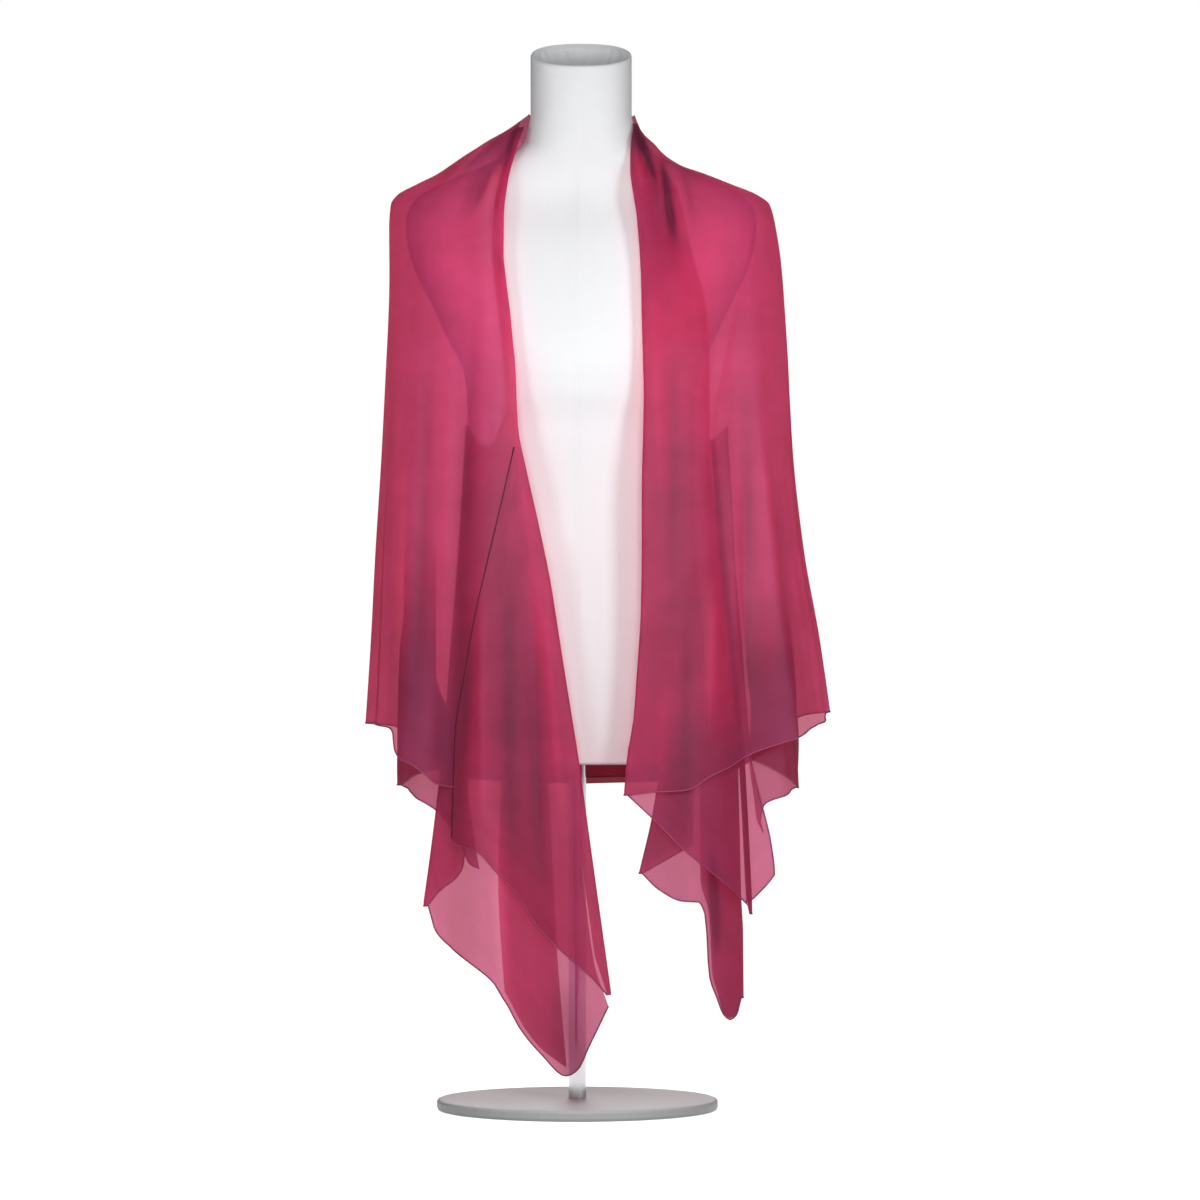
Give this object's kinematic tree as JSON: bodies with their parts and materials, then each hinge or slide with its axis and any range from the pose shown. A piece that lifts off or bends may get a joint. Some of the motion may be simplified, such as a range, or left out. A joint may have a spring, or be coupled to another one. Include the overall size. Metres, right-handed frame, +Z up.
{
  "type": "poncho on a dress form",
  "caption": "Sheer open-front poncho with pointed, folded hems, draped over a limbless white dress form on a pole stand.",
  "frame": {"origin": "middle of the base's underside, on the floor under the axis of the pole", "axes": "+Z up, the open front of the poncho faces -Y, +X to the right of the front view"},
  "size_m": [0.4977, 0.3, 1.1432],
  "materials": {
    "chiffon": "sheer matt chiffon with narrow rolled hems",
    "jersey": "white knitted jersey cover",
    "chrome": "polished tube",
    "painted_base": "satin pale paint"
  },
  "bodies": {
    "root": {"left_shoulder": "chiffon", "left_cape": "chiffon", "right_shoulder": "chiffon", "right_cape": "chiffon", "back_shoulders": "chiffon", "back_panel": "chiffon", "left_facing": "chiffon", "left_gore": "chiffon", "left_body": "chiffon", "left_pleat": "chiffon", "left_corner": "chiffon", "right_body": "chiffon", "right_pleat": "chiffon", "right_tail": "chiffon", "right_corner": "chiffon", "dress_form": "jersey", "neck_rim": "jersey", "stand_pole": "chrome", "stand_base": "painted_base"}
  },
  "joints": []
}
